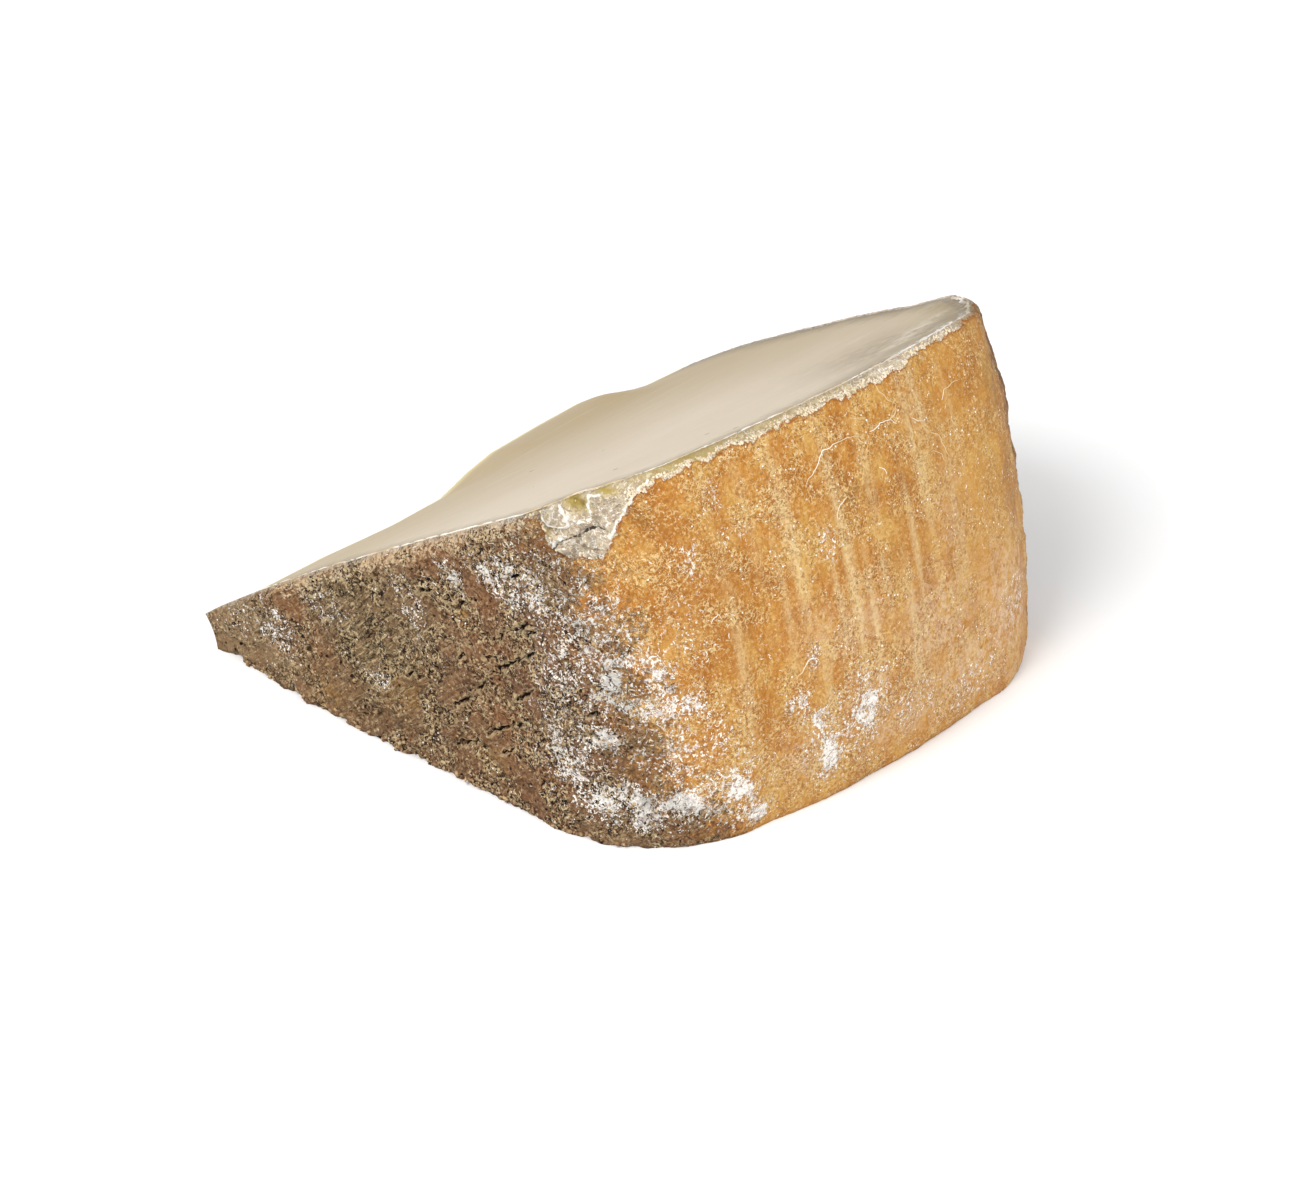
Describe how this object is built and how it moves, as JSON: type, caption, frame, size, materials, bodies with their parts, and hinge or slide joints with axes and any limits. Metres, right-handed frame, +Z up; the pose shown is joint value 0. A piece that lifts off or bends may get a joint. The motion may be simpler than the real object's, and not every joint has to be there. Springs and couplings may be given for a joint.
{
  "type": "ossau-iraty cheese chunk",
  "caption": "Wedge-shaped chunk of a tall round pressed ewe's milk cheese, lying on one cut face, with a smooth ivory paste, a blunt nose, a brown dry rind at its side and an orange heel.",
  "frame": {"origin": "middle of the bounding box in plan, at the level of the lower cut on which the chunk lies", "axes": "+X from the blunt nose at the wheel's centre towards the heel, +Y along the wheel's axis from the flat face that the picture shows towards the one it doesn't, +Z up"},
  "size_m": [0.1298, 0.1342, 0.0767],
  "materials": {
    "rind": "matte",
    "paste": "satin"
  },
  "bodies": {
    "root": {"cheese_chunk": "rind"}
  },
  "joints": []
}
